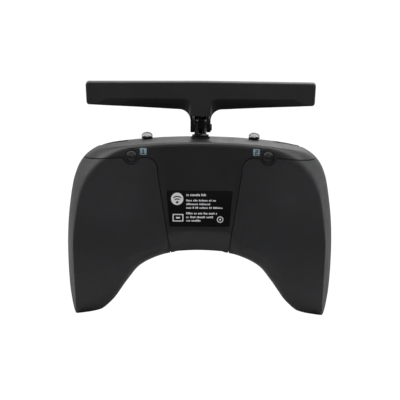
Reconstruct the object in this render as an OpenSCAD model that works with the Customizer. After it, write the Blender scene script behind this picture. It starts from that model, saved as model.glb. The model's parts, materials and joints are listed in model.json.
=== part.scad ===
// Handheld radio transmitter with two gimbals, rubber grips and a folding T antenna.
// +Z runs from the grip tips to the antenna, -Y is the back and +Y is the face with the sticks.

/* [Body] */
// Half of the width across the grips
half_w = 82.5; // [80:0.5:85]
// Depth of the flat back behind the middle plane
back_d = 20.5; // [19.5:0.25:21.5]
// Depth of the flat face in front of the middle plane
face_d = 17; // [16.5:0.25:17.5]
// How far the palm swell stands behind the flat back
palm_swell = 6; // [3:0.5:7]
// Wall thickness of the back shell
back_wall = 2.8; // [2.6:0.1:3]
// Wall thickness of the front shell
front_wall = 2.2; // [2:0.1:2.4]
// Thickness of the rubber grips
grip_t = 1.4; // [1.2:0.1:1.5]

/* [Gimbals] */
// Distance of each gimbal from the centre line
gimbal_x = 46; // [45.5:0.1:46.5]
// Height of the gimbal centres
gimbal_z = 76; // [75.5:0.1:76.5]
// Radius of the moving dome
dome_r = 15; // [14.5:0.1:15.2]
// Length of a stick from its pivot to its end
stick_l = 37; // [33:0.5:40]

/* [Antenna] */
// Length of the bar
bar_l = 144; // [130:0.5:150]
// Height of the top of the bar
bar_top = 145.8; // [143:0.1:150]
// Thickness of the bar from back to face
bar_t = 9; // [8:0.1:9.4]
// Height of the fold axis
fold_z = 116.8; // [116.6:0.1:117.2]

/* [Controls] */
// Distance of the rear buttons from the centre line
rear_button_x = 42.6; // [42:0.1:43]
// Radius of the rear buttons
rear_button_r = 3.4; // [3.2:0.1:4]
// Distance of the top toggles from the centre line
toggle_x = 33.6; // [32:0.1:35]

/* [Hidden] */
$fn = 48;

// The middle plane of the body, set so that the whole depth is centred on the origin
gimbal_y = 3;
mid_y = (back_d + palm_swell - gimbal_y - stick_l) / 2;
// The shells part on this plane, measured from the middle plane as every y below is
part_y = -6;

// Outline of the body in x and z, from the centre line to the widest point
top_line = [[0, 110], [20, 109.5], [33, 108.6], [46, 107.3], [62, 104.6], [70, 100.4],
            [75, 94.8], [78.6, 86], [81.2, 70], [82.5, 48]];
low_line = [[0, 40.7], [15, 39.9], [24, 37.4], [32, 34.1], [38, 30.2], [44.5, 22.2], [54.5, 8.5],
            [62, 2.6], [70, 0.8], [76.8, 0], [80.4, 13], [82, 30], [82.5, 48]];
outline_w = 82.5;
stations = 26;
rows = 18;
last_station = 89.4;

frame_r = 20;
spring_y = -14.3;
rear_button_z = 101;
button_pocket_r = 4.6;
toggle_y = 9;
antenna_y = 2;
trim_z = 68;
key_z = 76;

function rise(t) = let (c = min(1, max(0, t))) c * c * (3 - 2 * c);
function mix(a, b, t) = a + (b - a) * t;

// A smooth curve through knots that never overshoots them
function chord(k, i) = (k[i + 1][1] - k[i][1]) / (k[i + 1][0] - k[i][0]);
function tangent(k, i) = i == 0 ? 0
    : i == len(k) - 1 ? chord(k, i - 1)
    : let (a = chord(k, i - 1), b = chord(k, i)) a * b <= 0 ? 0 : 2 * a * b / (a + b);
function span(k, u, i = 0) = i >= len(k) - 2 || u <= k[i + 1][0] ? i : span(k, u, i + 1);
function curve(k, u) = let (
        i = span(k, u),
        w = k[i + 1][0] - k[i][0],
        t = (u - k[i][0]) / w,
        a = tangent(k, i) * w,
        b = tangent(k, i + 1) * w,
        p = k[i][1],
        q = k[i + 1][1]
    ) p + t * (a + t * (3 * (q - p) - 2 * a - b + t * (2 * (p - q) + a + b)));

// The outline by angle, so that its steep outer end is drawn as finely as its flat middle
top_knots = [for (p = top_line) [asin(min(1, p[0] / outline_w)), p[1]]];
low_knots = [for (p = low_line) [asin(min(1, p[0] / outline_w)), p[1]]];
function top_z(a) = curve(top_knots, abs(a));
function low_z(a) = curve(low_knots, abs(a));
function top_at(x) = top_z(asin(x / outline_w));

// Depth of the back and of the face, before their edges are rounded
function back_at(x, z) = back_d
    + palm_swell * rise((abs(x) - 20) / 36) * exp(-pow((z - 50) / 40, 2));
function face_at(x, z) = face_d - 12 * rise((46 - z) / 46) * rise((abs(x) - 20) / 20);

// Share of the full depth at a distance from an edge, with a round of that radius and sharpness
function round_in(d, r, n) = d >= r ? 1 : d <= 0 ? 0 : pow(1 - pow(1 - d / r, n), 1 / n);

// Edge rounds along the outline: [depth where the round starts, radius, sharpness]
function back_top_edge(x) = let (t = rise((x - 44) / 30)) [mix(18, 6, t), mix(2.6, 12, t), 2];
function back_low_edge(x) = let (t = rise((x - 17) / 8), s = rise((x - 50) / 25))
    [mix(12, 7, t), mix(mix(14.5, 9, t), 12, s), mix(1.25, 2, t)];
function face_top_edge(x) = let (t = rise((x - 50) / 25)) [mix(12, 6, t), mix(5, 9, t), 2];
function face_low_edge(x) = let (t = rise((x - 17) / 12)) [mix(13, 3, t), mix(4, 8, t), 2];

// One cross section of the body, seen along x, shrunk inwards by a wall on every side
function section(a, wall, low_wall) = let (
        x = outline_w * sin(a) * (1 - wall / outline_w),
        step = 0.5,
        dx = outline_w * (sin(abs(a) + step) - sin(abs(a) - step)),
        top_m = (top_z(min(89.9, abs(a) + step)) - top_z(max(0, abs(a) - step))) / dx,
        low_m = (low_z(min(89.9, abs(a) + step)) - low_z(max(0, abs(a) - step))) / dx,
        top_cos = 1 / sqrt(1 + top_m * top_m),
        low_cos = 1 / sqrt(1 + low_m * low_m),
        z_top = top_z(a) - wall * min(2, 1 / top_cos),
        z_low = low_z(a) + low_wall * min(2, 1 / low_cos),
        half = max(0.4, (z_top - z_low) / 2),
        middle = (z_top + z_low) / 2
    ) [x, middle, half, top_cos, low_cos];
function row_depth(s, cut, face, wall) = let (
        x = abs(cut[0]),
        z = cut[1] + cut[2] * s,
        to_top = cut[2] * (1 - s) * cut[3],
        to_low = cut[2] * (1 + s) * cut[4],
        top = face ? face_top_edge(x) : back_top_edge(x),
        low = face ? face_low_edge(x) : back_low_edge(x),
        full = (face ? face_at(x, z) : back_at(x, z)) - wall,
        edge = min(full, max(1, mix(low[0], top[0], (1 + s) / 2) - wall)),
        share = round_in(to_top, max(1, top[1] - wall), top[2])
            * round_in(to_low, max(1, low[1] - wall), low[2])
    ) edge + (full - edge) * share;
function ring(a, back_w, front_w, low_w) = let (
        cut = section(a, max(back_w, front_w), low_w),
        heights = [for (i = [0:rows]) cos(180 * i / rows)]
    ) concat(
        [for (s = heights) [cut[0], -row_depth(s, cut, false, back_w), cut[1] + cut[2] * s]],
        [for (i = [rows:-1:0]) let (s = heights[i])
            [cut[0], row_depth(s, cut, true, front_w), cut[1] + cut[2] * s]]
    );

// The whole body as one solid, shrunk inwards by the walls given
module body_form(back_w = 0, front_w = 0, low_w = 0, last = last_station) {
    side = 2 * (rows + 1);
    count = 2 * stations + 1;
    points = [for (i = [-stations:stations]) each ring(last * i / stations, back_w, front_w, low_w)];
    sides = [for (i = [0:count - 2], j = [0:side - 1]) let (
            a = i * side + j,
            b = i * side + (j + 1) % side
        ) each [[a, b + side, b], [a, a + side, b + side]]];
    first_cap = [for (j = [1:side - 2]) [0, j, j + 1]];
    end = (count - 1) * side;
    last_cap = [for (j = [1:side - 2]) [end, end + j + 1, end + j]];
    scale([half_w / outline_w, 1, 1])
        polyhedron(points, concat(sides, first_cap, last_cap), convexity = 6);
}

// Everything is drawn about the middle plane of the body and set in the frame here
module in_frame() {
    translate([0, mid_y, 0])
        children();
}

module mirrored(side) {
    scale_x = side == "left" ? 1 : 0;
    mirror([scale_x, 0, 0])
        children();
}

// A cylinder along Y that starts at y and runs l towards the face
module rod_y(x, y, z, r, l) {
    translate([x, y, z])
        rotate([-90, 0, 0])
            cylinder(r = r, h = l);
}

module rod_x(x, y, z, r, l) {
    translate([x, y, z])
        rotate([0, 90, 0])
            cylinder(r = r, h = l);
}

// A plate drawn in x and z, from y to y + t
module plate(y, t) {
    translate([0, y + t, 0])
        rotate([90, 0, 0])
            linear_extrude(height = t)
                children();
}

module box_at(centre, size) {
    translate(centre)
        cube(size, center = true);
}

module rounded(w, h, r) {
    offset(r = r, $fn = 24)
        square([w - 2 * r, h - 2 * r], center = true);
}

// Where the rubber covers the back, on the right side
module grip_outline(grow = 0) {
    bite = 4.9;
    offset(delta = grow)
        difference() {
            union() {
                polygon([[90, 97.2], [50, 100.3], [34, 100.3], [26.6, 92], [25.2, 84], [18.3, 41], [17, 30],
                         [30, -5], [90, -5]]);
                translate([33.6, 92.9])
                    circle(r = 7.4);
            }
            translate([rear_button_x, rear_button_z])
                circle(r = bite);
        }
}

module behind(y) {
    translate([-100, -60, -10])
        cube([200, 60 + y, 140]);
}

screw_places = [[73, 80], [62, 22], [27, 50]];

module at_screws() {
    for (p = screw_places, s = [-1, 1])
        translate([s * p[0], 0, p[1]])
            children();
}

// The shallow scoop in the lower edge of the back, above the ports
module scoop_outline() {
    scoop_w = 15.6;
    scoop_top = 41.9;
    polygon([for (i = [-8:8])
        [scoop_w * i / 8, scoop_top - 1.9 * pow(abs(i) / 8, 3)],
        [scoop_w, 30], [-scoop_w, 30]]);
}

module rear_shell() {
    seat = -14;
    color("#1c1c1e") in_frame() resize([0, 0, 0]) difference() {
        union() {
            difference() {
                intersection() {
                    union() {
                        difference() {
                            body_form();
                            for (side = ["left", "right"])
                                mirrored(side)
                                    plate(-60, 80)
                                        grip_outline(0.3);
                        }
                        body_form(grip_t + 0.15, grip_t + 0.15, grip_t + 0.15);
                    }
                    behind(part_y);
                }
                body_form(back_wall, front_wall, back_wall, last_station - 0.2);
            }
            intersection() {
                at_screws()
                    rod_y(0, -30, 0, 3.4, 30 + part_y);
                body_form(grip_t + 0.3, grip_t + 0.3, grip_t + 0.3);
            }
        }
        at_screws() {
            rod_y(0, -40, 0, 2.7, 40 + seat);
            rod_y(0, -20, 0, 1.5, 20);
        }
        for (s = [-1, 1]) {
            rod_y(s * rear_button_x, -30, rear_button_z, rear_button_r + 0.3, 20);
            rod_y(s * rear_button_x, -30, rear_button_z, button_pocket_r, 30 - back_d + 1.1);
        }
        plate(-back_d - 1, 1.5)
            label_outline(0.15);
        for (s = [-1, 1])
            box_at([s * 35.2, -back_d - 0.4, 104], [4.7, 1.6, 4.7]);
        plate(-40, 31)
            scoop_outline();
    }
}

module label_outline(grow = 0) {
    offset(delta = grow)
        polygon([[-20.4, 79.6], [20.4, 79.6], [18.7, 57.2], [-18.7, 57.2]]);
}

module rear_label() {
    color("#0c0c0d") in_frame()
        plate(-back_d - 0.05, 0.5)
            label_outline();
}

module switch_tags() {
    color("#9fb8c4") in_frame()
        for (s = [-1, 1])
            box_at([s * 35.2, -back_d + 0.1, 104], [4.4, 0.5, 4.4]);
}

module grip(side) {
    gap = 0.2;
    resize([0, 0, 0]) difference() {
        intersection() {
            body_form();
            mirrored(side)
                plate(-60, 60 + part_y - gap)
                    grip_outline();
        }
        body_form(grip_t, grip_t, grip_t);
    }
}

module left_grip() {
    color("#26272a") in_frame()
        grip("left");
}

module right_grip() {
    color("#26272a") in_frame()
        grip("right");
}

shoulder_place = [54.3, 9, 105.15];
shoulder_tilt = 10.5;

module at_shoulder(side) {
    mirrored(side)
        translate(shoulder_place)
            rotate([0, shoulder_tilt, 0])
                children();
}

module front_shell() {
    color("#2b2b2e") in_frame() resize([0, 0, 0]) difference() {
        union() {
            difference() {
                body_form();
                behind(part_y + 0.1);
                body_form(back_wall, front_wall, back_wall, last_station - 0.2);
            }
            intersection() {
                at_screws()
                    rod_y(0, part_y + 0.1, 0, 3.2, 30);
                body_form(1, 1, 1);
            }
        }
        at_screws()
            rod_y(0, part_y - 1, 0, 1.35, 9.5);
        // Gimbal openings, screen and keys
        for (s = [-1, 1]) {
            rod_y(s * gimbal_x, 5, gimbal_z, 20, 30);
            box_at([s * 19.5, 16, trim_z], [4.8, 12, 16.2]);
            box_at([s * gimbal_x, 16, 49.6], [16.2, 12, 4.8]);
            rod_y(s * 10.5, 5, key_z, 3.4, 30);
            translate([s * toggle_x, toggle_y, 95])
                cylinder(r = 2.8, h = 30);
        }
        rod_y(-10.5, 5, 65, 3.4, 30);
        rod_y(0, 5, 53, 5.2, 30);
        box_at([0, 16, 71], [6.8, 12, 14.4]);
        box_at([0, 15, 92], [31, 12, 17]);
        plate(face_d - 1.5, 10)
            translate([0, 92])
                rounded(34.4, 21.4, 2);
        for (z = [61.5, 65, 68.5])
            rod_y(10.5, 5, z, 0.9, 30);
        for (x = [-6:3:6])
            rod_y(x, 5, 44.5, 0.6, 30);
        // Top openings
        for (side = ["left", "right"])
            at_shoulder(side)
                cube([17.6, 6.4, 14], center = true);
        translate([0, antenna_y, 95])
            cylinder(r = 4.6, h = 30);
        // Ports in the underside
        box_at([0, 4, 41], [9.5, 3.7, 12]);
        box_at([15.5, 4, 41], [12.4, 2, 12]);
        translate([-13, 4, 30])
            cylinder(r = 3.2, h = 20);
    }
}

module display_window() {
    color("#101214") in_frame()
        plate(face_d - 1.4, 1.4)
            translate([0, 92])
                rounded(34, 21, 1.8);
}

module display_module() {
    color("#203a2c") in_frame() {
        box_at([0, 13.4, 92], [30.4, 3.6, 16.4]);
        box_at([0, 10.8, 91.5], [34, 1.6, 21]);
    }
}

module main_board() {
    color("#1f5a3a") in_frame() difference() {
        union() {
            box_at([0, -4.7, 73], [46, 1.6, 56]);
            box_at([8, -3.2, 66], [10, 1.6, 10]);
            box_at([-10, -3.3, 70], [7, 1.4, 5]);
            box_at([-14, -2.6, 60], [5, 2.8, 4]);
            box_at([15, -3.4, 79], [6, 1.2, 4]);
            box_at([-16, -3.2, 78.5], [5, 1.6, 3]);
        }
        for (x = [-20, 20], z = [48, 98])
            rod_y(x, -10, z, 1.2, 20);
    }
}

module radio_module() {
    color("#c8c9cc") in_frame() {
        box_at([0, -3.1, 92], [34, 1.2, 19]);
        box_at([-2, -0.8, 91], [24, 3.4, 15]);
        rod_y(13.5, -2.6, 97, 1.6, 1.6);
    }
}

module battery_pack() {
    color("#3a6ea5") in_frame()
        plate(-17.2, 10.6)
            translate([0, 79])
                rounded(42, 42, 2);
}

module speaker() {
    color("#121212") in_frame() difference() {
        rod_y(0, -3.8, 54, 7, 4.2);
        rod_y(0, -0.6, 54, 1.6, 2);
    }
}

module vibration_motor() {
    color("#b9bbbd") in_frame()
        rod_y(50, 9.8, 42, 5, 3);
}

module usb_socket() {
    color("#c0c2c5") in_frame() difference() {
        box_at([0, 4, 44.2], [9, 3.2, 7.8]);
        box_at([0, 4, 42], [8.3, 2.5, 10]);
    }
}

module trainer_jack() {
    color("#17171a") in_frame() difference() {
        union() {
            translate([-13, 4, 40.4])
                cylinder(r = 3, h = 4);
            box_at([-13, 4, 49.4], [7, 6.4, 11.2]);
        }
        translate([-13, 4, 39])
            cylinder(r = 1.85, h = 13.4);
    }
}

module card_slot() {
    color("#b9bbbd") in_frame() difference() {
        box_at([15.5, 4, 47.5], [12, 1.6, 14]);
        box_at([15.5, 4, 46], [11, 0.8, 14]);
    }
}

// Gimbal parts are drawn about the pivot of the right gimbal
module at_gimbal(side) {
    mirrored(side)
        translate([gimbal_x, gimbal_y, gimbal_z])
            children();
}

module turned_y() {
    rotate([-90, 0, 0])
        rotate_extrude($fn = 64)
            children();
}

module gimbal_frame() {
    difference() {
        turned_y()
            polygon([[0, -12.2], [frame_r, -12.2], [frame_r, 6.4], [dome_r + 1.4, 6.4],
                     [dome_r + 1.4, -10.8], [0, -10.8]]);
        rod_x(-30, 0, 0, 1.56, 60);
        for (s = [-1, 1])
            rod_x(s * 19.5 - 1, 0, 0, 3.2, 2);
    }
    for (a = [45:90:315])
        rotate([0, a, 0])
            difference() {
                box_at([frame_r + 1.2, 3, 0], [3.2, 3, 5]);
                rod_y(frame_r + 1.4, 0, 0, 0.9, 6);
            }
    for (x = [-10, 10], z = [-13, 13])
        rod_y(x, spring_y, z, 0.9, -12 - spring_y);
}

module left_gimbal_frame() {
    color("#202124") in_frame()
        at_gimbal("left")
            gimbal_frame();
}

module right_gimbal_frame() {
    color("#202124") in_frame()
        at_gimbal("right")
            gimbal_frame();
}

module bezel() {
    lip = dome_r + 0.6;
    face = face_d - gimbal_y;
    turned_y()
        polygon([[lip, 6.7], [19.7, 6.7], [19.7, face + 0.1], [21.5, face + 0.1],
                 [21.5, face + 0.7], [21, face + 1.2], [20.3, face + 1.2], [lip, 9]]);
}

module left_bezel() {
    color("#3a3b3f") in_frame()
        at_gimbal("left")
            bezel();
}

module right_bezel() {
    color("#3a3b3f") in_frame()
        at_gimbal("right")
            bezel();
}

module yoke() {
    difference() {
        union() {
            difference() {
                sphere(r = dome_r, $fn = 64);
                sphere(r = dome_r - 1.5, $fn = 64);
                box_at([0, -dome_r - 4, 0], [40, 2 * dome_r, 40]);
            }
            for (s = [0, 180])
                rotate([0, s, 0])
                    rod_x(dome_r - 1.2, 0, 0, 1.5, 4.6);
        }
        box_at([0, 12, 0], [21, 20, 5.8]);
        translate([0, 0, -30])
            cylinder(r = 1.56, h = 60);
    }
}

module left_yoke() {
    color("#2e2f33") in_frame()
        at_gimbal("left")
            yoke();
}

module right_yoke() {
    color("#2e2f33") in_frame()
        at_gimbal("right")
            yoke();
}

module stick() {
    sphere(r = 5, $fn = 48);
    translate([0, 0, 0.1 - dome_r])
        cylinder(r = 1.5, h = 2 * dome_r - 0.2);
    rod_y(0, 0, 0, 2.2, stick_l - 9);
}

module left_stick() {
    color("#b4b6ba") in_frame()
        at_gimbal("left")
            stick();
}

module right_stick() {
    color("#b4b6ba") in_frame()
        at_gimbal("right")
            stick();
}

// Turned metal end with grip grooves and a crown of teeth, screwed on the stick
module stick_end() {
    difference() {
        rod_y(0, stick_l - 11, 0, 4.1, 11);
        rod_y(0, stick_l - 12, 0, 2.25, 3.05);
        for (y = [2:2.2:9])
            translate([0, stick_l - 11 + y, 0])
                turned_y()
                    translate([3.7, 0])
                        square([1, 0.8]);
        for (a = [0:60:120])
            rotate([0, a, 0])
                box_at([0, stick_l, 0], [10, 1.6, 1.2]);
    }
}

module left_stick_end() {
    color("#8d8f94") in_frame()
        at_gimbal("left")
            stick_end();
}

module right_stick_end() {
    color("#8d8f94") in_frame()
        at_gimbal("right")
            stick_end();
}

module gimbal_springs() {
    color("#c7c9cb") in_frame()
        for (side = ["left", "right"], z = [-13, 13])
            at_gimbal(side)
                difference() {
                    rod_x(-9, spring_y, z, 1.7, 18);
                    rod_x(-10, spring_y, z, 1.1, 20);
                }
}

module gimbal_sensors() {
    color("#1f5a3a") in_frame()
        for (side = ["left", "right"])
            at_gimbal(side) {
                box_at([0, -13, 0], [14, 1.4, 8]);
                box_at([-20.8, 1, 0], [1.4, 8, 6]);
            }
}

module toggle_base() {
    difference() {
        union() {
            translate([0, 0, top_at(toggle_x) + 0.4])
                cylinder(r = 3.5, h = 0.9);
            translate([0, 0, 100])
                cylinder(r = 2.6, h = 9.2);
            box_at([0, 0, 99], [8, 9, 9]);
        }
        translate([0, 0, 101])
            cylinder(r = 2.05, h = 20);
    }
}

module left_toggle_base() {
    color("#0f0f10") in_frame()
        translate([-toggle_x, toggle_y, 0])
            toggle_base();
}

module right_toggle_base() {
    color("#0f0f10") in_frame()
        translate([toggle_x, toggle_y, 0])
            toggle_base();
}

toggle_pivot = 106.8;

// A ball in the bush, a short neck and a wide oval cap
module toggle() {
    translate([0, 0, toggle_pivot]) {
        sphere(r = 1.7, $fn = 32);
        cylinder(r = 1.15, h = 4);
        rod_x(-1.95, 0, 0, 0.5, 3.9);
    }
    plate(-1.4, 2.8)
        translate([0, toggle_pivot + 5.1])
            polygon([for (a = [0:10:350]) [3.55 * cos(a), 1.5 * sin(a)]]);
}

module left_toggle() {
    color("#c9cacc") in_frame()
        translate([-toggle_x, toggle_y, 0])
            toggle();
}

module right_toggle() {
    color("#c9cacc") in_frame()
        translate([toggle_x, toggle_y, 0])
            toggle();
}

module shoulder_button(out) {
    translate([0, 0, out])
        difference() {
            translate([0, 0, -3.6])
                linear_extrude(height = 3.6)
                    rounded(17, 5.8, 1.5);
            for (s = [-1, 1])
                translate([s * 9.3, 0, 0.6])
                    rotate([0, s * 25, 0])
                        cube([4, 10, 3], center = true);
        }
}

module left_shoulder_button() {
    color("#111113") in_frame()
        at_shoulder("left")
            shoulder_button(0.1);
}

module right_shoulder_button() {
    color("#111113") in_frame()
        at_shoulder("right")
            shoulder_button(0.9);
}

module rear_button() {
    dome = 9;
    intersection() {
        rod_y(0, -back_d - 2.2, 0, rear_button_r, 6.4);
        translate([0, dome - back_d - 2.2, 0])
            sphere(r = dome, $fn = 64);
    }
}

module left_rear_button() {
    color("#141416") in_frame()
        translate([-rear_button_x, 0, rear_button_z])
            rear_button();
}

module right_rear_button() {
    color("#141416") in_frame()
        translate([rear_button_x, 0, rear_button_z])
            rear_button();
}

module button_switches() {
    color("#3b3b3b") in_frame() {
        for (s = [-1, 1]) {
            box_at([s * rear_button_x, -12.9, 100], [6, 3.4, 6]);
            rod_y(s * rear_button_x, -15, rear_button_z, 1.5, 1);
        }
        for (side = ["left", "right"])
            at_shoulder(side)
                box_at([0, 0, -6.4], [8, 5, 2]);
    }
}

// A bar that rocks on a short pin just under the face
module trim_rocker() {
    difference() {
        plate(12.6, 6.2)
            rounded(4.2, 15, 1);
        for (s = [-1, 1])
            box_at([0, 19.3, s * 4.2], [6, 1, 2.2]);
    }
    rod_x(-3.1, 14, 0, 0.6, 6.2);
}

module left_vertical_trim() {
    color("#141416") in_frame()
        translate([-19.5, 0, trim_z])
            trim_rocker();
}

module right_vertical_trim() {
    color("#141416") in_frame()
        translate([19.5, 0, trim_z])
            trim_rocker();
}

module left_horizontal_trim() {
    color("#141416") in_frame()
        translate([-gimbal_x, 0, 49.6])
            rotate([0, 90, 0])
                trim_rocker();
}

module right_horizontal_trim() {
    color("#141416") in_frame()
        translate([gimbal_x, 0, 49.6])
            rotate([0, 90, 0])
                trim_rocker();
}

module power_button() {
    color("#4a4b4f") in_frame()
        difference() {
            rod_y(0, 12.4, 53, 4.9, 5.4);
            translate([0, 17.8 + 11.5, 53])
                sphere(r = 12, $fn = 64);
        }
}

wheel_y = 12;

module scroll_wheel() {
    notches = 24;
    color("#55565a") in_frame()
        translate([0, wheel_y, 71])
            difference() {
                rod_x(-2.9, 0, 0, 7, 5.8);
                rod_x(-4, 0, 0, 1.3, 8);
                for (i = [0:notches - 1])
                    rotate([360 / notches * i, 0, 0])
                        box_at([0, 7, 0], [8, 1, 0.7]);
            }
}

module key_at(x, z) {
    color("#1a1a1c") in_frame()
        translate([x, 0, z])
            difference() {
                rod_y(0, 12.6, 0, 3.2, 5.4);
                translate([0, 18 + 8.6, 0])
                    sphere(r = 9, $fn = 48);
            }
}

module menu_key() {
    key_at(-10.5, key_z);
}

module page_key() {
    key_at(-10.5, 65);
}

module exit_key() {
    key_at(10.5, key_z);
}

module status_lights() {
    color("#dfe6e0") in_frame()
        for (z = [61.5, 65, 68.5])
            rod_y(10.5, 10, z, 0.75, 7.1);
}

// The keypad board with its switches, an axle for the wheel, and a board under each cross trim
module key_board() {
    color("#1f5a3a") in_frame() {
        difference() {
            box_at([0, 9.4, 63.4], [44, 1.2, 34]);
            box_at([0, 9.4, 71], [7.6, 3, 16]);
        }
        for (p = [[-10.5, key_z], [-10.5, 65], [10.5, key_z], [0, 53]])
            box_at([p[0], 10.7, p[1]], [4, 1.4, 4]);
        for (s = [-1, 1], d = [-5.5, 5.5])
            box_at([s * 19.5, 10.5, trim_z + d], [3, 1, 3]);
        for (s = [-1, 1])
            box_at([s * 5, 10.9, 71], [1.6, 4.4, 4]);
        rod_x(-5.9, wheel_y, 71, 1.25, 11.8);
        for (s = [-1, 1])
            box_at([s * gimbal_x, 10.7, 49.6], [14, 1.2, 4.4]);
    }
}

module shell_screws() {
    color("#6b6d70") in_frame()
        at_screws() {
            difference() {
                rod_y(0, -15.9, 0, 2.4, 1.8);
                rod_y(0, -17, 0, 1, 2, $fn = 6);
            }
            rod_y(0, -14.2, 0, 1.25, 16);
        }
}

module antenna_base() {
    color("#0e0e0f") in_frame()
        translate([0, antenna_y, 0])
            difference() {
                union() {
                    translate([0, 0, top_at(0) + 0.1])
                        cylinder(r1 = 6.1, r2 = 5.6, h = 1);
                    translate([0, 0, 103.4])
                        cylinder(r = 4.4, h = 7.2);
                }
                translate([0, 0, 100])
                    cylinder(r = 3.05, h = 20);
            }
}

tongue_w = 2.4;

// The swivel post, its washer, and two tall lugs with a slot for the antenna's tongue between them
module antenna_knuckle() {
    lug_w = 7.5;
    lug_d = 6.6;
    lug_top = fold_z + 4;
    slot_low = fold_z - 3.6;
    color("#151517") in_frame()
        translate([0, antenna_y, 0])
            difference() {
                union() {
                    translate([0, 0, 103.6])
                        cylinder(r = 3, h = 8);
                    translate([0, 0, 111.4])
                        cylinder(r = 5.2, h = 0.7);
                    box_at([0, 0, (111.9 + lug_top) / 2], [lug_w, lug_d, lug_top - 111.9]);
                    rod_x(-lug_w / 2, 0, lug_top, lug_d / 2, lug_w);
                }
                rod_x(-10, 0, fold_z, 1.3, 20);
                box_at([0, 0, slot_low + 10], [tongue_w + 0.5, 10, 20]);
                translate([0, 0, 100])
                    cylinder(r = 1, h = 18);
            }
}

module hinge_screw() {
    color("#1b1b1d") in_frame()
        translate([0, antenna_y, 0]) {
            rod_x(-6, 0, fold_z, 1.25, 12.3);
            difference() {
                rod_x(6.3, 0, fold_z, 2.1, 0.8);
                box_at([7.1, 0, fold_z], [0.8, 0.5, 5]);
            }
        }
}

stem_w = 12.6;
stem_low = 125.6;

// One half of the bar and stem, mirrored by the caller
module antenna_half_outline() {
    bar_low = 131;
    root_low = 128.2;
    fillet = 7;
    polygon(concat(
        [[0, bar_top], [bar_l / 2 - 1.6, bar_top - 0.6], [bar_l / 2, bar_top - 2.2],
         [bar_l / 2 - 0.5, bar_low + 1.6], [bar_l / 2 - 2.2, bar_low]],
        [for (a = [90:15:180])
            [stem_w / 2 + fillet + fillet * cos(a), root_low - fillet + fillet * sin(a)]],
        [[stem_w / 2, stem_low], [0, stem_low]]
    ));
}

module antenna_outline(grow = 0) {
    offset(delta = grow)
        for (m = [0, 1])
            mirror([m, 0])
                union() {
                    antenna_half_outline();
                    translate([-0.1, stem_low])
                        square([0.2, bar_top - stem_low]);
                }
}

module antenna_rear_cover() {
    ear = 2.35;
    hinge_r = 3.2;
    bevel = 4;
    color("#1d1e20") in_frame()
        translate([0, antenna_y, 0])
            difference() {
                union() {
                    difference() {
                        plate(-bar_t / 2, bar_t / 2 + 0.4)
                            antenna_outline();
                        plate(-bar_t / 2 + 2, bar_t)
                            antenna_outline(-1.8);
                        for (s = [-1, 1])
                            translate([s * 45, -bar_t / 2, 129.6])
                                rotate([0, s * -3.6, 0])
                                    rotate([45, 0, 0])
                                        cube([76, bevel, bevel], center = true);
                    }
                    for (leaf = [[-(stem_w - ear) / 2, ear], [0, tongue_w], [(stem_w - ear) / 2, ear]])
                        translate([leaf[0], 0, 0]) {
                            box_at([0, 0, (fold_z + stem_low + 1) / 2],
                                   [leaf[1], 2 * hinge_r - 0.2, stem_low - fold_z + 1]);
                            rod_x(-leaf[1] / 2, 0, fold_z, hinge_r, leaf[1]);
                        }
                }
                rod_x(-10, 0, fold_z, 1.3, 20);
            }
}

module antenna_front_cover() {
    color("#1d1e20") in_frame()
        translate([0, antenna_y, 0])
            union() {
                intersection() {
                    plate(0.5, bar_t / 2 - 0.5)
                        antenna_outline();
                    translate([-100, 0, stem_low + 1.3])
                        cube([200, 20, 40]);
                }
                for (x = [-60:24:60])
                    rod_y(x, -1.4, 138.5, 0.9, 2);
            }
}

module antenna_element() {
    color("#b87333") in_frame()
        translate([0, antenna_y, 0])
            difference() {
                union() {
                    plate(-2.3, 0.8)
                        translate([0, 138.4])
                            square([132, 7], center = true);
                    plate(-2.3, 0.8)
                        translate([0, 132.7])
                            square([6, 9], center = true);
                }
                for (x = [-60:24:60])
                    rod_y(x, -5, 138.5, 1.1, 10);
            }
}

// The coaxial lead from the foot of the antenna post to its plug on the radio module
coax_route = [[0, 2, 103.4], [0, 2, 102], [0.6, 1.9, 101], [2, 1.6, 100.4], [4.5, 0.9, 100.2],
              [7, 0.3, 100.2], [10, 0, 100.2], [12, -0.1, 99.8], [13.2, -0.2, 98.8], [13.5, -0.2, 97.6]];

function unit(v) = v / norm(v);
function heading(p, i) = unit(p[min(len(p) - 1, i + 1)] - p[max(0, i - 1)]);

// A tube of radius r swept along points that lie near a plane of constant y
module tube(p, r, sides = 8) {
    count = len(p);
    points = [for (i = [0:count - 1]) let (
            t = heading(p, i),
            u = unit(cross(t, [0, 1, 0])),
            v = cross(u, t)
        ) for (k = [0:sides - 1]) p[i] + r * (cos(360 * k / sides) * u + sin(360 * k / sides) * v)];
    walls = [for (i = [0:count - 2], k = [0:sides - 1]) let (
            a = i * sides + k,
            b = i * sides + (k + 1) % sides
        ) each [[a, b, b + sides], [a, b + sides, a + sides]]];
    start = [[for (k = [sides - 1:-1:0]) k]];
    finish = [[for (k = [0:sides - 1]) (count - 1) * sides + k]];
    polyhedron(points, concat(walls, start, finish));
}

module antenna_coax() {
    color("#2a2a2a") in_frame() {
        tube(coax_route, 0.6);
        rod_y(13.5, -1, 97, 1.4, 1.6);
    }
}

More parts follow.
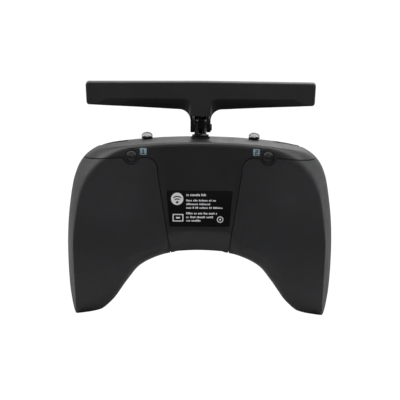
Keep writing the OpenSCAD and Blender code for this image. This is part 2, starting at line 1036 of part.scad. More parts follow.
rear_shell();
front_shell();
left_grip();
right_grip();
rear_label();
switch_tags();
display_window();
display_module();
main_board();
radio_module();
battery_pack();
speaker();
vibration_motor();
usb_socket();
trainer_jack();
card_slot();
left_gimbal_frame();
right_gimbal_frame();
left_bezel();
right_bezel();
gimbal_springs();
gimbal_sensors();
left_toggle_base();
right_toggle_base();
antenna_base();
shell_screws();
status_lights();
antenna_coax();
key_board();
button_switches();
left_yoke();
right_yoke();
left_stick();
right_stick();
left_stick_end();
right_stick_end();
left_toggle();
right_toggle();
left_shoulder_button();
right_shoulder_button();
left_rear_button();
right_rear_button();
left_vertical_trim();
right_vertical_trim();
left_horizontal_trim();
right_horizontal_trim();
power_button();
scroll_wheel();
menu_key();
page_key();
exit_key();
antenna_knuckle();
hinge_screw();
antenna_rear_cover();
antenna_front_cover();
antenna_element();
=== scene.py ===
"""Looks of a handheld radio transmitter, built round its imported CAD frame.

Sizes are in millimetres. The body's formulas are the ones of the CAD model, drawn more finely,
with y measured from the middle plane of the body, and are set in the frame by place().
"""
import json
import math
import random

import bmesh
import bpy
import numpy as np
from mathutils import Matrix, Vector


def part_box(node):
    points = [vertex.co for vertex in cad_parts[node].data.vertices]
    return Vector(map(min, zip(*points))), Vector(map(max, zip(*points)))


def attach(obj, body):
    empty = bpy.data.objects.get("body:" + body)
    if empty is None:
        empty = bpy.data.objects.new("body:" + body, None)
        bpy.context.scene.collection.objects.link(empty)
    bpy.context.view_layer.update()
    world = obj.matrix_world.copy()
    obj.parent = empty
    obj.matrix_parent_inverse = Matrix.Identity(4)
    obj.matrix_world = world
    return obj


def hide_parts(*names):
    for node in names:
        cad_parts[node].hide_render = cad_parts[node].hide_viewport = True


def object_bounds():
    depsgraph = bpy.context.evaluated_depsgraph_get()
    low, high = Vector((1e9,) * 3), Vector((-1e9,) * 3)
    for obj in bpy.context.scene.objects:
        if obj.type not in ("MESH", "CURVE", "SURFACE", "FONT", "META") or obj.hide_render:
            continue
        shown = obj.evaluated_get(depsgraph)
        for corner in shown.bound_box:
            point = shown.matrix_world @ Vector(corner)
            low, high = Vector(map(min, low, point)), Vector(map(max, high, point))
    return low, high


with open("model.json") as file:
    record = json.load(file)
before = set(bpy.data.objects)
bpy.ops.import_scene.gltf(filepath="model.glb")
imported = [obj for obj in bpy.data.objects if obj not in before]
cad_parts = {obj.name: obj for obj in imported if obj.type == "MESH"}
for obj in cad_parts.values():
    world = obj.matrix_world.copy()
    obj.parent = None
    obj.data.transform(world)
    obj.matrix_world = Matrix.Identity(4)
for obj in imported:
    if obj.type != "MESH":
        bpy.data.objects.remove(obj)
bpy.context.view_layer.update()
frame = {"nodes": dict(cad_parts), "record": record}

MM = 0.001
SLOT_OF = {p["node"]: p["material_slot"] for p in frame["record"]["subparts"]}


def centre_of(node):
    low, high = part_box(node)
    return (low + high) / 2 / MM


# ---------------------------------------------------------------- driving dimensions
ANTENNA_Y = 2.0
MID_Y = centre_of("antenna_base").y - ANTENNA_Y
OUTLINE_W = 82.5
BACK_D = 20.5
FACE_D = 17.0
PALM_SWELL = 6.0
BACK_WALL = 2.8
FRONT_WALL = 2.2
GRIP_T = 1.4
PART_Y = -6.0
LAST_STATION = 89.4
GIMBAL_X = 46.0
GIMBAL_Z = 76.0
TRIM_Z = 68.0
KEY_X = 10.5
KEY_Z = 76.0
PAGE_KEY_Z = 65.0
POWER_Z = 53.0
REAR_BUTTON_X = 42.6
REAR_BUTTON_Z = 101.0
REAR_BUTTON_R = 3.4
TOGGLE_X = 33.6
TOGGLE_Y = 9.0
TOGGLE_PIVOT = 106.8
TAG_X = 35.2
TAG_Z = 104.0
TAG_W = 4.4
SCOOP_HALF = 15.6
SCOOP_TOP = 41.9
SHOULDER = (54.3, 9.0, 105.15)
SHOULDER_TILT = 10.5
SIDES = (("left", -1), ("right", 1))
FOLD_Z = 116.8

TOP_LINE = [(0, 110), (20, 109.5), (33, 108.6), (46, 107.3), (62, 104.6), (70, 100.4),
            (75, 94.8), (78.6, 86), (81.2, 70), (82.5, 48)]
LOW_LINE = [(0, 40.7), (15, 39.9), (24, 37.4), (32, 34.1), (38, 30.2), (44.5, 22.2), (54.5, 8.5),
            (62, 2.6), (70, 0.8), (76.8, 0), (80.4, 13), (82, 30), (82.5, 48)]


# ---------------------------------------------------------------- body surface
def rise(t):
    t = np.clip(t, 0, 1)
    return t * t * (3 - 2 * t)


def mix(a, b, t):
    return a + (b - a) * t


def smooth_curve(knots):
    """A curve through knots that never overshoots them, as a function of an array."""
    u = np.array([math.degrees(math.asin(k[0] / OUTLINE_W)) for k in knots])
    v = np.array([k[1] for k in knots], float)
    chords = np.diff(v) / np.diff(u)
    tangents = np.zeros(len(u))
    tangents[-1] = chords[-1]
    a, b = chords[:-1], chords[1:]
    same = a * b > 0
    tangents[1:-1][same] = 2 * a[same] * b[same] / (a[same] + b[same])

    def value(x):
        x = np.abs(x)
        i = np.clip(np.searchsorted(u, x, side="left") - 1, 0, len(u) - 2)
        w = u[i + 1] - u[i]
        t = (x - u[i]) / w
        p, q = v[i], v[i + 1]
        m, n = tangents[i] * w, tangents[i + 1] * w
        return p + t * (m + t * (3 * (q - p) - 2 * m - n + t * (2 * (p - q) + m + n)))

    return value


top_z = smooth_curve(TOP_LINE)
low_z = smooth_curve(LOW_LINE)


def back_at(x, z):
    return BACK_D + PALM_SWELL * rise((np.abs(x) - 20) / 36) * np.exp(-(((z - 50) / 40) ** 2))


def face_at(x, z):
    return FACE_D - 12 * rise((46 - z) / 46) * rise((np.abs(x) - 20) / 20)


def round_in(d, r, n):
    t = 1 - np.clip(d / r, 0, 1)
    return (1 - t ** n) ** (1 / n)


def back_edges(x):
    t, s = rise((x - 44) / 30), rise((x - 17) / 8)
    u = rise((x - 50) / 25)
    top = (mix(18, 6, t), mix(2.6, 12, t), 2 + 0 * x)
    low = (mix(12, 7, s), mix(mix(14.5, 9, s), 12, u), mix(1.25, 2, s))
    return top, low


def face_edges(x):
    t, s = rise((x - 50) / 25), rise((x - 17) / 12)
    top = (mix(12, 6, t), mix(5, 9, t), 2 + 0 * x)
    low = (mix(13, 3, s), mix(4, 8, s), 2 + 0 * x)
    return top, low


def body_points(stations, rows, wall_back=0.0, wall_front=0.0, wall_low=0.0, last=LAST_STATION):
    """Rings of points round the body, one for each station from its left to its right."""
    a = np.linspace(-last, last, 2 * stations + 1)[:, None]
    s = np.cos(np.linspace(0, math.pi, rows + 1))[None, :]
    wall = max(wall_back, wall_front)
    x = OUTLINE_W * np.sin(np.radians(a)) * (1 - wall / OUTLINE_W)
    step = 0.5
    outer, inner = np.abs(a) + step, np.abs(a) - step
    dx = OUTLINE_W * (np.sin(np.radians(outer)) - np.sin(np.radians(inner)))
    outer, inner = np.minimum(outer, 89.9), np.maximum(inner, 0)
    top_cos = 1 / np.sqrt(1 + ((top_z(outer) - top_z(inner)) / dx) ** 2)
    low_cos = 1 / np.sqrt(1 + ((low_z(outer) - low_z(inner)) / dx) ** 2)
    high = top_z(a) - wall * np.minimum(2, 1 / top_cos)
    low = low_z(a) + wall_low * np.minimum(2, 1 / low_cos)
    half, middle = np.maximum(0.4, (high - low) / 2), (high + low) / 2
    z = middle + half * s
    ax = np.abs(x)

    def depth(full, edges, thick):
        (top_d, top_r, top_n), (low_d, low_r, low_n) = edges
        full = full - thick
        edge = np.minimum(full, np.maximum(1, mix(low_d, top_d, (1 + s) / 2) - thick))
        share = round_in(half * (1 - s) * top_cos, np.maximum(1, top_r - thick), top_n)
        share = share * round_in(half * (1 + s) * low_cos, np.maximum(1, low_r - thick), low_n)
        return edge + (full - edge) * share

    back = -depth(back_at(ax, z), back_edges(ax), wall_back)
    front = depth(face_at(ax, z), face_edges(ax), wall_front)
    xs = np.broadcast_to(x, z.shape)
    rear_half = np.stack([xs, back, z], -1)
    front_half = np.stack([xs, front, z], -1)[:, ::-1]
    return np.concatenate([rear_half, front_half], 1)


def place(p):
    """From millimetres about the middle plane to metres in the frame."""
    return (p[0] * MM, (p[1] + MID_Y) * MM, p[2] * MM)


def link(name, mesh):
    obj = bpy.data.objects.new(name, mesh)
    bpy.context.scene.collection.objects.link(obj)
    return obj


def mesh_object(name, points, faces):
    mesh = bpy.data.meshes.new(name)
    mesh.from_pydata([place(p) for p in points], [], faces)
    mesh.validate()
    return link(name, mesh)


def body_solid(name, stations, rows, *walls, last=LAST_STATION):
    grid = body_points(stations, rows, *walls, last=last)
    count, side = grid.shape[:2]
    faces = []
    for i in range(count - 1):
        for j in range(side):
            a, b = i * side + j, i * side + (j + 1) % side
            faces.append((a, b, b + side, a + side))
    faces.append(tuple(range(side - 1, -1, -1)))
    faces.append(tuple((count - 1) * side + j for j in range(side)))
    obj = mesh_object(name, grid.reshape(-1, 3).tolist(), faces)
    bm = bmesh.new()
    bm.from_mesh(obj.data)
    bmesh.ops.recalc_face_normals(bm, faces=bm.faces)
    bm.to_mesh(obj.data)
    bm.free()
    return obj


# ---------------------------------------------------------------- solids used as tools
def arc(cx, cz, r, start, end, count):
    return [(cx + r * math.cos(math.radians(t)), cz + r * math.sin(math.radians(t)))
            for t in np.linspace(start, end, count)]


def rounded_rect(cx, cz, w, h, r, count=6):
    x, z = w / 2 - r, h / 2 - r
    corners = [(x, z, 0), (-x, z, 90), (-x, -z, 180), (x, -z, 270)]
    return [p for px, pz, t in corners for p in arc(cx + px, cz + pz, r, t, t + 90, count)]


def prism_y(name, outline, y0, y1):
    """A straight solid whose outline is drawn in x and z."""
    n = len(outline)
    points = [(x, y0, z) for x, z in outline] + [(x, y1, z) for x, z in outline]
    faces = [(i, (i + 1) % n, n + (i + 1) % n, n + i) for i in range(n)]
    faces += [tuple(range(n - 1, -1, -1)), tuple(range(n, 2 * n))]
    obj = mesh_object(name, points, faces)
    bm = bmesh.new()
    bm.from_mesh(obj.data)
    bmesh.ops.recalc_face_normals(bm, faces=bm.faces)
    bmesh.ops.triangulate(bm, faces=[f for f in bm.faces if len(f.verts) > 4])
    bm.to_mesh(obj.data)
    bm.free()
    return obj


def rod_y(x, z, r, y0, y1, count=64):
    return prism_y("rod", arc(x, z, r, 0, 360 * (1 - 1 / count), count), y0, y1)


def cone_y(x, z, r0, r1, y0, y1, count=64):
    """A cone along y with radius r0 at y0 and r1 at y1."""
    return lathe("cone", [(0, 0), (0, r0), (y1 - y0, r1), (y1 - y0, 0)], (x, y0, z), (0, 1, 0), count)


def rod_z(x, y, r, z0, z1, count=64):
    obj = prism_y("rod", arc(0, 0, r, 0, 360 * (1 - 1 / count), count), z0, z1)
    turn = Matrix.Rotation(math.radians(90), 4, "X")
    shift = Matrix.Translation(Vector(place((x, y, 0))))
    obj.data.transform(Matrix.Translation((0, -MID_Y * MM, 0)))
    obj.data.transform(shift @ turn @ Matrix.Scale(-1, 4, (0, 1, 0)))
    obj.data.flip_normals()
    return obj


def block(cx, cy, cz, w, d, h):
    return prism_y("block", [(cx - w / 2, cz - h / 2), (cx + w / 2, cz - h / 2),
                             (cx + w / 2, cz + h / 2), (cx - w / 2, cz + h / 2)],
                   cy - d / 2, cy + d / 2)


def boolean(obj, tool, operation="DIFFERENCE"):
    step = obj.modifiers.new("step", "BOOLEAN")
    step.operation = operation
    step.solver = "MANIFOLD"
    step.object = tool
    graph = bpy.context.evaluated_depsgraph_get()
    made = bpy.data.meshes.new_from_object(obj.evaluated_get(graph))
    obj.modifiers.clear()
    obj.data = made
    bpy.data.objects.remove(tool)
    return obj


def cut_all(obj, tools):
    for tool in tools:
        boolean(obj, tool)
    return obj


def mirrored_outline(outline, side):
    return [(side * x, z) for x, z in outline][::side]


def finished(bm, name):
    """Turns a bmesh into an object whose faces all point outwards."""
    bmesh.ops.recalc_face_normals(bm, faces=bm.faces)
    mesh = bpy.data.meshes.new(name)
    bm.to_mesh(mesh)
    bm.free()
    return link(name, mesh)


def bridge(bm, rings):
    """Joins each ring of vertices to the next one. A ring of one vertex is a tip."""
    count = max(len(ring) for ring in rings)
    for a, b in zip(rings, rings[1:]):
        for k in range(count):
            m = (k + 1) % count
            corners = [a[k % len(a)], a[m % len(a)], b[m % len(b)], b[k % len(b)]]
            bm.faces.new(list(dict.fromkeys(corners)))


# ---------------------------------------------------------------- finishing helpers
def smooth(obj, angle=32):
    obj.data.shade_smooth()
    obj.data.set_sharp_from_angle(angle=math.radians(angle))
    return obj


def flat_borders(obj):
    """Keeps the big flat faces flat in shading right up to their edges."""
    bm = bmesh.new()
    bm.from_mesh(obj.data)
    for face in bm.faces:
        if len(face.verts) > 4:
            for edge in face.edges:
                edge.smooth = False
    bm.to_mesh(obj.data)
    bm.free()
    return obj


def soften(obj, width, segments=2, angle=40):
    """Rounds the object's sharp edges and applies the result."""
    step = obj.modifiers.new("soft", "BEVEL")
    step.width = width * MM
    step.segments = segments
    step.limit_method = "ANGLE"
    step.angle_limit = math.radians(angle)
    step.use_clamp_overlap = True
    step.miter_outer = "MITER_ARC"
    graph = bpy.context.evaluated_depsgraph_get()
    made = bpy.data.meshes.new_from_object(obj.evaluated_get(graph))
    obj.modifiers.clear()
    obj.data = made
    return obj


def dress(obj, body, material, slot, *replaced):
    obj.data.materials.clear()
    obj.data.materials.append(material)
    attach(obj, body)
    if replaced:
        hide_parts(*replaced)
    return obj


# ---------------------------------------------------------------- materials
class Nodes:
    """A short way to write a node material."""

    def __init__(self, name):
        self.material = bpy.data.materials.new(name)
        self.material.use_nodes = True
        self.tree = self.material.node_tree
        self.tree.nodes.clear()
        self.output = self.tree.nodes.new("ShaderNodeOutputMaterial")
        self.shader = self.tree.nodes.new("ShaderNodeBsdfPrincipled")
        self.tree.links.new(self.shader.outputs[0], self.output.inputs[0])
        self.coords = self.tree.nodes.new("ShaderNodeTexCoord").outputs["Object"]

    def noise(self, scale, detail=4.0, roughness=0.6, stretch=None):
        node = self.tree.nodes.new("ShaderNodeTexNoise")
        node.inputs["Scale"].default_value = scale
        node.inputs["Detail"].default_value = detail
        node.inputs["Roughness"].default_value = roughness
        source = self.coords
        if stretch:
            mapping = self.tree.nodes.new("ShaderNodeMapping")
            mapping.inputs["Scale"].default_value = stretch
            self.tree.links.new(self.coords, mapping.inputs["Vector"])
            source = mapping.outputs[0]
        self.tree.links.new(source, node.inputs["Vector"])
        return node.outputs[0]

    def cells(self, scale):
        node = self.tree.nodes.new("ShaderNodeTexVoronoi")
        node.inputs["Scale"].default_value = scale
        self.tree.links.new(self.coords, node.inputs["Vector"])
        return node.outputs["Distance"]

    def spread(self, value, low, high, from_low=0.3, from_high=0.7):
        node = self.tree.nodes.new("ShaderNodeMapRange")
        node.inputs["From Min"].default_value = from_low
        node.inputs["From Max"].default_value = from_high
        node.inputs["To Min"].default_value = low
        node.inputs["To Max"].default_value = high
        self.tree.links.new(value, node.inputs["Value"])
        return node.outputs[0]

    def colours(self, value, low, high, from_low=0.3, from_high=0.7):
        node = self.tree.nodes.new("ShaderNodeValToRGB")
        node.color_ramp.elements[0].position = from_low
        node.color_ramp.elements[1].position = from_high
        node.color_ramp.elements[0].color = (*low, 1)
        node.color_ramp.elements[1].color = (*high, 1)
        self.tree.links.new(value, node.inputs[0])
        return node.outputs[0]

    def bump(self, value, strength, distance, below=None):
        node = self.tree.nodes.new("ShaderNodeBump")
        node.inputs["Strength"].default_value = strength
        node.inputs["Distance"].default_value = distance * MM
        self.tree.links.new(value, node.inputs["Height"])
        if below:
            self.tree.links.new(below, node.inputs["Normal"])
        return node.outputs[0]

    def feed(self, socket, value):
        self.tree.links.new(value, self.shader.inputs[socket])

    def fix(self, socket, value):
        self.shader.inputs[socket].default_value = value


def tint(colour, factor):
    return tuple(min(1, c * factor) for c in colour)


def moulded(name, colour, rough, grain=0.05, grain_scale=2600, variation=0.16, coat=0.0, specular=0.5):
    """Moulded plastic or rubber: spark-eroded grain, slow tone changes and uneven gloss."""
    n = Nodes(name)
    slow = n.noise(38, 3)
    fine = n.noise(grain_scale, 2, 0.5)
    pits = n.cells(grain_scale * 0.5)
    n.feed("Base Color", n.colours(slow, tint(colour, 1 - variation), tint(colour, 1 + variation)))
    n.feed("Roughness", n.spread(n.noise(140, 5), rough - 0.05, rough + 0.06))
    n.feed("Normal", n.bump(fine, 0.5, grain, n.bump(pits, 0.3, grain)))
    n.fix("Specular IOR Level", specular)
    if coat:
        n.fix("Coat Weight", coat)
        n.fix("Coat Roughness", 0.2)
    return n.material


def turned_metal(name, colour, rough, stretch=(1, 1, 14), scale=900):
    n = Nodes(name)
    n.fix("Metallic", 1.0)
    lines = n.noise(scale, 3, 0.6, stretch)
    n.feed("Base Color", n.colours(n.noise(60), tint(colour, 0.86), colour))
    n.feed("Roughness", n.spread(lines, rough - 0.07, rough + 0.1))
    n.feed("Normal", n.bump(lines, 0.25, 0.02))
    return n.material


def satin_metal_painted_reflection(name, colour):
    """Plated metal whose reflection of a white studio is painted into a light base colour: bright from
    every side.
    """
    n = Nodes(name)
    n.fix("Metallic", 0.2)
    n.feed("Base Color", n.colours(n.noise(90), tint(colour, 0.88), colour))
    n.feed("Roughness", n.spread(n.noise(700, 3), 0.34, 0.46))
    n.feed("Normal", n.bump(n.noise(1800, 2), 0.2, 0.01))
    return n.material


def printed(name, colour, rough=0.45, specular=0.5):
    n = Nodes(name)
    n.fix("Specular IOR Level", specular)
    n.feed("Base Color", n.colours(n.noise(900, 3), tint(colour, 0.88), colour))
    n.feed("Roughness", n.spread(n.noise(300), rough - 0.05, rough + 0.08))
    n.feed("Normal", n.bump(n.noise(2200, 2), 0.2, 0.01))
    return n.material


def solder_mask(name):
    n = Nodes(name)
    tracks = n.cells(420)
    n.feed("Base Color", n.colours(tracks, (0.01, 0.12, 0.05), (0.012, 0.06, 0.03), 0.1, 0.5))
    n.feed("Roughness", n.spread(n.noise(500), 0.25, 0.4))
    n.feed("Normal", n.bump(tracks, 0.3, 0.03))
    return n.material


def smoked_window(name):
    n = Nodes(name)
    n.feed("Base Color", n.colours(n.noise(25), (0.006, 0.007, 0.009), (0.012, 0.013, 0.016)))
    n.feed("Roughness", n.spread(n.noise(400, 6), 0.04, 0.12))
    n.fix("Coat Weight", 0.6)
    n.fix("Coat Roughness", 0.05)
    return n.material


def glowing(name, colour):
    n = Nodes(name)
    n.feed("Base Color", n.colours(n.noise(500), tint(colour, 0.8), colour))
    n.fix("Roughness", 0.3)
    n.fix("Transmission Weight", 0.25)
    n.fix("Subsurface Weight", 0.2)
    return n.material


MATERIALS = {
    "back_plastic": moulded("back_plastic", (0.0085, 0.0085, 0.0094), 0.46),
    "front_plastic": moulded("front_plastic", (0.011, 0.011, 0.012), 0.48),
    "grip_rubber": moulded("grip_rubber", (0.0115, 0.0118, 0.0138), 0.56, grain=0.07, grain_scale=2000),
    "label": printed("label_film", (0.0012, 0.0012, 0.0014), 0.55, 0.14),
    "tag": printed("tag_film", (0.28, 0.385, 0.43), 0.5, 0.3),
    "screen_cover": smoked_window("screen_cover"),
    "display": printed("display_glass", (0.02, 0.04, 0.03), 0.2),
    "circuit_board": solder_mask("circuit_board"),
    "shield_metal": turned_metal("shield_metal", (0.62, 0.62, 0.64), 0.32, (1, 1, 1), 300),
    "battery_wrap": printed("battery_wrap", (0.03, 0.12, 0.3), 0.3),
    "black_plastic": moulded("black_plastic", (0.009, 0.009, 0.0095), 0.4),
    "steel": turned_metal("steel", (0.55, 0.56, 0.57), 0.3),
    "gimbal_plastic": moulded("gimbal_plastic", (0.018, 0.018, 0.02), 0.34, grain=0.02),
    "bezel_plastic": moulded("bezel_plastic", (0.035, 0.036, 0.04), 0.32, grain=0.02, coat=0.2),
    "dark_steel": turned_metal("dark_steel", (0.06, 0.06, 0.065), 0.35),
    "light_pipe": glowing("light_pipe", (0.7, 0.8, 0.72)),
    "cable_jacket": moulded("cable_jacket", (0.02, 0.02, 0.02), 0.4),
    "aluminium": turned_metal("aluminium", (0.7, 0.71, 0.73), 0.26),
    "stick_end_metal": turned_metal("stick_end_metal", (0.36, 0.37, 0.39), 0.28),
    # The toggles' chrome is drawn light and satin, with its bright reflection painted in.
    "toggle_chrome": satin_metal_painted_reflection("toggle_chrome", (0.9, 0.9, 0.9)),
    "key_plastic": moulded("key_plastic", (0.011, 0.011, 0.012), 0.36, grain=0.02),
    "power_key": moulded("power_key", (0.05, 0.05, 0.055), 0.36, grain=0.02, coat=0.3),
    "wheel_plastic": moulded("wheel_plastic", (0.07, 0.07, 0.075), 0.4, grain=0.02),
    "gloss_black": moulded("gloss_black", (0.008, 0.008, 0.009), 0.16, grain=0.004, coat=0.5),
    "antenna_plastic": moulded("antenna_plastic", (0.0155, 0.0158, 0.0158), 0.46),
    "copper": turned_metal("copper", (0.7, 0.32, 0.16), 0.3, (1, 1, 1)),
}
PRINT_WHITE = printed("print_white", (0.92, 0.92, 0.93), 0.5)
# A dark metal for the toggle cap's rim: painted shade on the edge of the chrome cap.
CAP_RIM_PAINTED_SHADE = turned_metal("toggle_rim_painted_shade", (0.2, 0.2, 0.205), 0.4, (1, 1, 1))
# Dark and nearly unreflecting: a matt finish on some parts, and painted shade on the antenna base, the
# knuckle's washer and the floor of its slot.
MATT_BLACK_AND_SHADE = moulded("matt_black_and_painted_shade", (0.003, 0.003, 0.0033), 0.6, specular=0.12)
PRINT_DARK = printed("print_dark", (0.008, 0.009, 0.011), 0.5)


def finish_cad_nodes():
    for name, node in frame["nodes"].items():
        node.data.materials.clear()
        node.data.materials.append(MATERIALS[SLOT_OF[name]])


# ---------------------------------------------------------------- case
def grip_outline(grow=0.0):
    """Where the rubber covers the back on the right side, grown outwards by grow."""
    bite, corner = 4.9 - grow, 7.4 + grow
    top = 100.3 + grow
    side = math.degrees(math.asin((top - REAR_BUTTON_Z) / bite))
    outline = [(90 + grow, -10), (90 + grow, 97.2 + grow), (50, top)]
    outline += arc(REAR_BUTTON_X, REAR_BUTTON_Z, bite, side, -180 - side, 33)
    outline += arc(33.6, 92.9, corner, 90, 190, 20)
    outline += [(25.2 - grow, 84), (18.3 - grow, 41), (17 - grow, 30), (30 - grow, -10)]
    return outline


def grip_prism(side, grow=0.0, y1=PART_Y - 0.2):
    return prism_y("grip_prism", mirrored_outline(grip_outline(grow), side), -60, y1)


def behind(y):
    return prism_y("behind", [(-120, -20), (120, -20), (120, 150), (-120, 150)], -60, y)


def label_outline(grow=0.0):
    corners = [(20.4, 79.6), (-20.4, 79.6), (-18.7, 57.2), (18.7, 57.2)]
    radius = 1.1
    centre = (0, 68.4)
    points = []
    for i, (x, z) in enumerate(corners):
        sx, sz = math.copysign(1, x - centre[0]), math.copysign(1, z - centre[1])
        px, pz = x - sx * radius, z - sz * radius
        points += arc(px, pz, radius + grow, i * 90, i * 90 + 90, 6)
    return points


def make_back_case(stations, rows):
    case = body_solid("back_case", stations, rows)
    for side in (1, -1):
        boolean(case, grip_prism(side, 0.3, 20))
    under = GRIP_T + 0.15
    boolean(case, body_solid("under", stations // 2, rows // 2, under, under, under), "UNION")
    boolean(case, behind(PART_Y), "INTERSECT")
    boolean(case, body_solid("hollow", 40, 24, BACK_WALL, FRONT_WALL, BACK_WALL, last=LAST_STATION - 0.2))
    tools = [rod_y(s * REAR_BUTTON_X, REAR_BUTTON_Z, REAR_BUTTON_R + 0.3, -30, -10) for s in (1, -1)]
    for s in (1, -1):
        tools.append(cone_y(s * REAR_BUTTON_X, REAR_BUTTON_Z, 5.2, 3.9, -BACK_D - 0.5, -BACK_D + 1.3))
        tools.append(block(s * TAG_X, -BACK_D - 0.4, TAG_Z, TAG_W + 0.3, 1.6, TAG_W + 0.3))
    tools.append(prism_y("label_seat", label_outline(0.15), -BACK_D - 1, -BACK_D + 0.5))
    scoop = [(SCOOP_HALF * t, SCOOP_TOP - 1.9 * abs(t) ** 3) for t in np.linspace(-1, 1, 33)]
    tools.append(prism_y("scoop", scoop + [(SCOOP_HALF, 30), (-SCOOP_HALF, 30)], -40, -9))
    cut_all(case, tools)
    smooth(case)
    return dress(case, "body", MATERIALS["back_plastic"], "back_plastic", "rear_shell")


def make_grips(stations, rows):
    for side, s in SIDES:
        name = side + "_grip"
        grip = body_solid(name + "_rubber", stations, rows)
        boolean(grip, grip_prism(s, -0.25), "INTERSECT")
        boolean(grip, body_solid("core", stations // 2, rows // 2, GRIP_T, GRIP_T, GRIP_T))
        smooth(grip)
        dress(grip, "body", MATERIALS["grip_rubber"], "grip_rubber", name)


def make_front_case(stations, rows):
    case = body_solid("front_case", stations, rows)
    boolean(case, behind(PART_Y + 0.1))
    boolean(case, body_solid("hollow", 40, 24, BACK_WALL, FRONT_WALL, BACK_WALL, last=LAST_STATION - 0.2))
    tools = []
    for s in (-1, 1):
        tools.append(rod_y(s * GIMBAL_X, GIMBAL_Z, 20, 5, 40, 96))
        tools.append(block(s * 19.5, 16, TRIM_Z, 4.8, 12, 16.2))
        tools.append(block(s * GIMBAL_X, 16, 49.6, 16.2, 12, 4.8))
        tools.append(rod_y(s * KEY_X, KEY_Z, 3.4, 5, 40))
        tools.append(rod_z(s * TOGGLE_X, TOGGLE_Y, 2.8, 95, 125))
        shoulder = block(0, 0, 0, 17.6, 6.4, 14)
        turn = Matrix.Rotation(math.radians(s * SHOULDER_TILT), 4, "Y")
        shoulder.data.transform(Matrix.Translation((0, -MID_Y * MM, 0)))
        shoulder.data.transform(Matrix.Translation(Vector(place((s * SHOULDER[0], *SHOULDER[1:])))) @ turn)
        tools.append(shoulder)
    # Page key, power button, wheel and display
    tools += [rod_y(-KEY_X, PAGE_KEY_Z, 3.4, 5, 40), rod_y(0, POWER_Z, 5.2, 5, 40)]
    tools += [block(0, 16, 71, 6.8, 12, 14.4), block(0, 15, 92, 31, 12, 17)]
    tools.append(prism_y("screen_seat", rounded_rect(0, 92, 34.4, 21.4, 2), FACE_D - 1.5, FACE_D + 8))
    # Status lights and speaker holes
    tools += [rod_y(KEY_X, z, 0.9, 5, 40, 24) for z in (61.5, 65, 68.5)]
    tools += [rod_y(x, 44.5, 0.6, 5, 40, 16) for x in (-6, -3, 0, 3, 6)]
    # Antenna base, then the data port, card slot and jack in the underside
    tools.append(rod_z(0, ANTENNA_Y, 4.6, 95, 125))
    tools += [block(0, 4, 41, 9.5, 3.7, 12), block(15.5, 4, 41, 12.4, 2, 12), rod_z(-13, 4, 3.2, 30, 50)]
    cut_all(case, tools)
    smooth(case)
    return dress(case, "body", MATERIALS["front_plastic"], "front_plastic", "front_shell")


# ---------------------------------------------------------------- label and tags
def flat_solids(name, outlines, y0, y1):
    """Several thin plates in one mesh."""
    bm = bmesh.new()
    for outline in outlines:
        back = [bm.verts.new(place((x, y0, z))) for x, z in outline]
        face = [bm.verts.new(place((x, y1, z))) for x, z in outline]
        n = len(outline)
        bm.faces.new(back)
        bm.faces.new(face[::-1])
        for i in range(n):
            bm.faces.new((back[i], face[i], face[(i + 1) % n], back[(i + 1) % n]))
    return finished(bm, name)


def bar(x0, x1, z0, z1):
    return [(x0, z0), (x1, z0), (x1, z1), (x0, z1)]


def sector(cx, cz, r0, r1, start, end, count=16):
    return arc(cx, cz, r1, start, end, count) + arc(cx, cz, r0, end, start, count)


def dashes(x0, x1, z, height, rng):
    """A line of small plain blocks that reads as a line of print from a distance."""
    shapes = []
    x = x0
    while x < x1 - 0.4:
        width = rng.uniform(0.45, 0.75)
        tall = height * rng.choice((0.72, 0.72, 1.0))
        shapes.append(bar(x, min(x + width, x1), z - height / 2, z - height / 2 + tall))
        x += width + (0.28 if rng.random() > 0.16 else 0.95)
    return shapes


def make_label():
    film = prism_y("label_film", label_outline(), -BACK_D - 0.05, -BACK_D + 0.45)
    soften(film, 0.04, 2)
    smooth(film)
    dress(film, "body", MATERIALS["label"], "label", "rear_label")
    rng = random.Random(4)
    y0, y1 = -BACK_D - 0.09, -BACK_D - 0.04
    lines = [(-8.2, 4.3, 77.1, 1.5), (-8.2, 10.1, 73.6, 1.15), (-8.2, 6.6, 71.3, 1.15),
             (-8.2, 14.3, 69.0, 1.15), (-8.2, 11.5, 65.5, 1.35), (-8.2, 8.9, 63.1, 1.15),
             (-8.2, 1.1, 60.9, 1.15)]
    shapes = [s for x0, x1, z, h in lines for s in dashes(x0, x1, z, h, rng)]
    # Two plain marks: an open box with a bar, and a ring with a dot
    shapes += [bar(-16.7, -10.0, 60.3, 60.9), bar(-16.7, -10.0, 64.4, 65.0)]
    shapes += [bar(-16.7, -16.1, 60.9, 64.4), bar(-10.6, -10.0, 60.9, 64.4), bar(-14.6, -12.1, 62.2, 63.1)]
    ring_x, ring_z = 12.9, 61.7
    shapes += [sector(ring_x, ring_z, 1.5, 2.0, turn, turn + 179.9) for turn in (0, 180)]
    shapes.append(arc(ring_x, ring_z, 0.55, 0, 337.5, 16))
    ink = flat_solids("label_print", shapes, y0, y1)
    dress(ink, "body", PRINT_WHITE, "label")
    mark_x, disc_z, dot_z = -13.9, 74.5, 72.4
    disc = flat_solids("label_disc", [arc(mark_x, disc_z, 3.85, 0, 352.5, 48)], y0, y1)
    dress(disc, "body", PRINT_WHITE, "label")
    # A plain symbol of radio waves: a dot under two arcs
    waves = [arc(mark_x, dot_z, 0.8, 0, 345, 24)]
    waves += [sector(mark_x, dot_z, 1.7, 2.4, 45, 135), sector(mark_x, dot_z, 3.3, 4.0, 48, 132)]
    symbol = flat_solids("label_symbol", waves, y0 - 0.04, y1 - 0.04)
    dress(symbol, "body", PRINT_DARK, "label")


